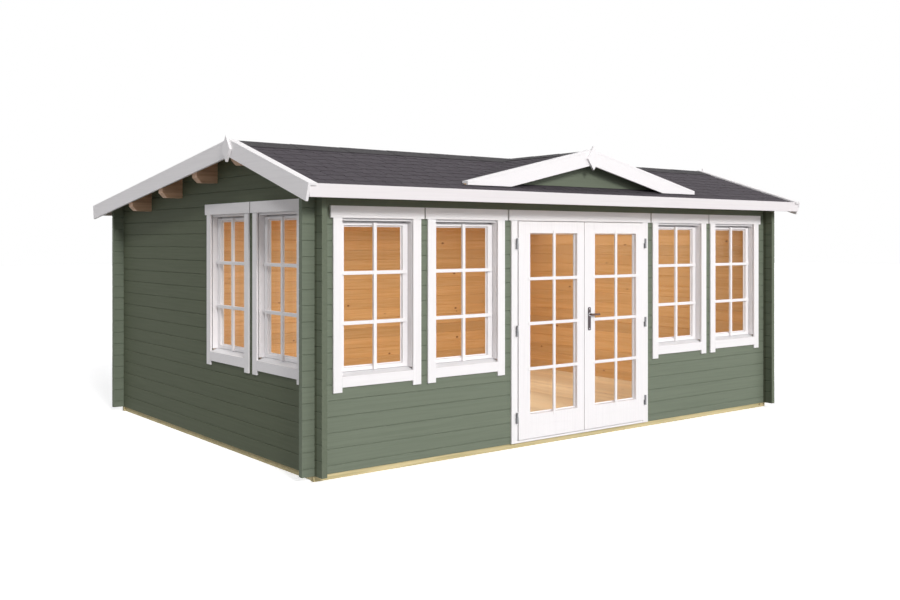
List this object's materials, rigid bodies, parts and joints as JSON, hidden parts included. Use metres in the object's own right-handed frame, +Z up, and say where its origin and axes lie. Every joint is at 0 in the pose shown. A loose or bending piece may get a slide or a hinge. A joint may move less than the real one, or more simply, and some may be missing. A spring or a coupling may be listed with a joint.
{
  "type": "log cabin",
  "caption": "Small rectangular log cabin with an offset gable roof, glazed double door under a small front gable, and casement windows on the front and left side",
  "frame": {"origin": "on the ground, in the middle of the four walls", "axes": "+X right along the front, -Y out of the front door, +Z up"},
  "size_m": [5.744, 4.3325, 2.504],
  "materials": {
    "green_paint": "satin green paint on spruce logs",
    "white_paint": "satin white paint on planed wood",
    "bare_wood": "bare planed spruce",
    "treated_wood": "sawn pressure-treated wood",
    "shingle": "mineral-faced bitumen shingles",
    "glass": "clear",
    "dark_metal": "dark powder coat",
    "steel": "brushed"
  },
  "bodies": {
    "cabin": {"foundation_beams": "treated_wood", "floor_bearers": "treated_wood", "floor_boards": "bare_wood", "front_wall_below_left_windows": "green_paint", "front_wall_below_right_windows": "green_paint", "front_wall_piers": "green_paint", "front_wall_top_logs": "green_paint", "left_wall_below_windows": "green_paint", "left_wall_piers": "green_paint", "left_gable_wall": "green_paint", "right_gable_wall": "green_paint", "rear_wall": "green_paint", "ridge_purlin": "bare_wood", "side_purlins": "bare_wood", "front_roof_boards": "bare_wood", "rear_roof_boards": "bare_wood", "front_roof_covering": "shingle", "rear_roof_covering": "shingle", "dormer_roof_boards": "bare_wood", "dormer_roof_covering": "shingle", "dormer_gable_panel": "green_paint", "barge_boards": "white_paint", "barge_caps": "white_paint", "finials": "white_paint", "eave_fascias": "white_paint", "window_side_trims": "white_paint", "window_aprons": "white_paint", "head_boards": "white_paint", "window_jambs": "white_paint", "window_frame_heads": "white_paint", "window_sills": "white_paint", "window_sashes": "white_paint", "window_glass": "glass", "door_frame_posts": "white_paint", "door_frame_head": "white_paint", "door_threshold": "white_paint", "door_frame_hinges": "dark_metal"},
    "left_leaf": {"left_door_leaf": "white_paint", "left_door_glass": "glass", "left_door_hinges": "dark_metal"},
    "right_leaf": {"right_door_leaf": "white_paint", "right_door_glass": "glass", "right_door_hinges": "dark_metal", "door_handle_plates": "dark_metal"},
    "lever": {"door_lever_handle": "steel"}
  },
  "joints": [
    {"name": "left_door_swing", "type": "hinge", "parent": "cabin", "child": "left_leaf", "pos_m": [-0.777, -1.93, 1], "axis": [0, 0, -1], "range_deg": [0, 165]},
    {"name": "right_door_swing", "type": "hinge", "parent": "cabin", "child": "right_leaf", "pos_m": [0.777, -1.93, 1], "axis": [0, 0, 1], "range_deg": [0, 165]},
    {"name": "lever_turn", "type": "hinge", "parent": "right_leaf", "child": "lever", "pos_m": [0.059, -1.9, 1.06], "axis": [0, 1, 0], "range_deg": [0, 40], "stiffness_Nm_per_rad": 2, "springref_deg": -20.05}
  ]
}
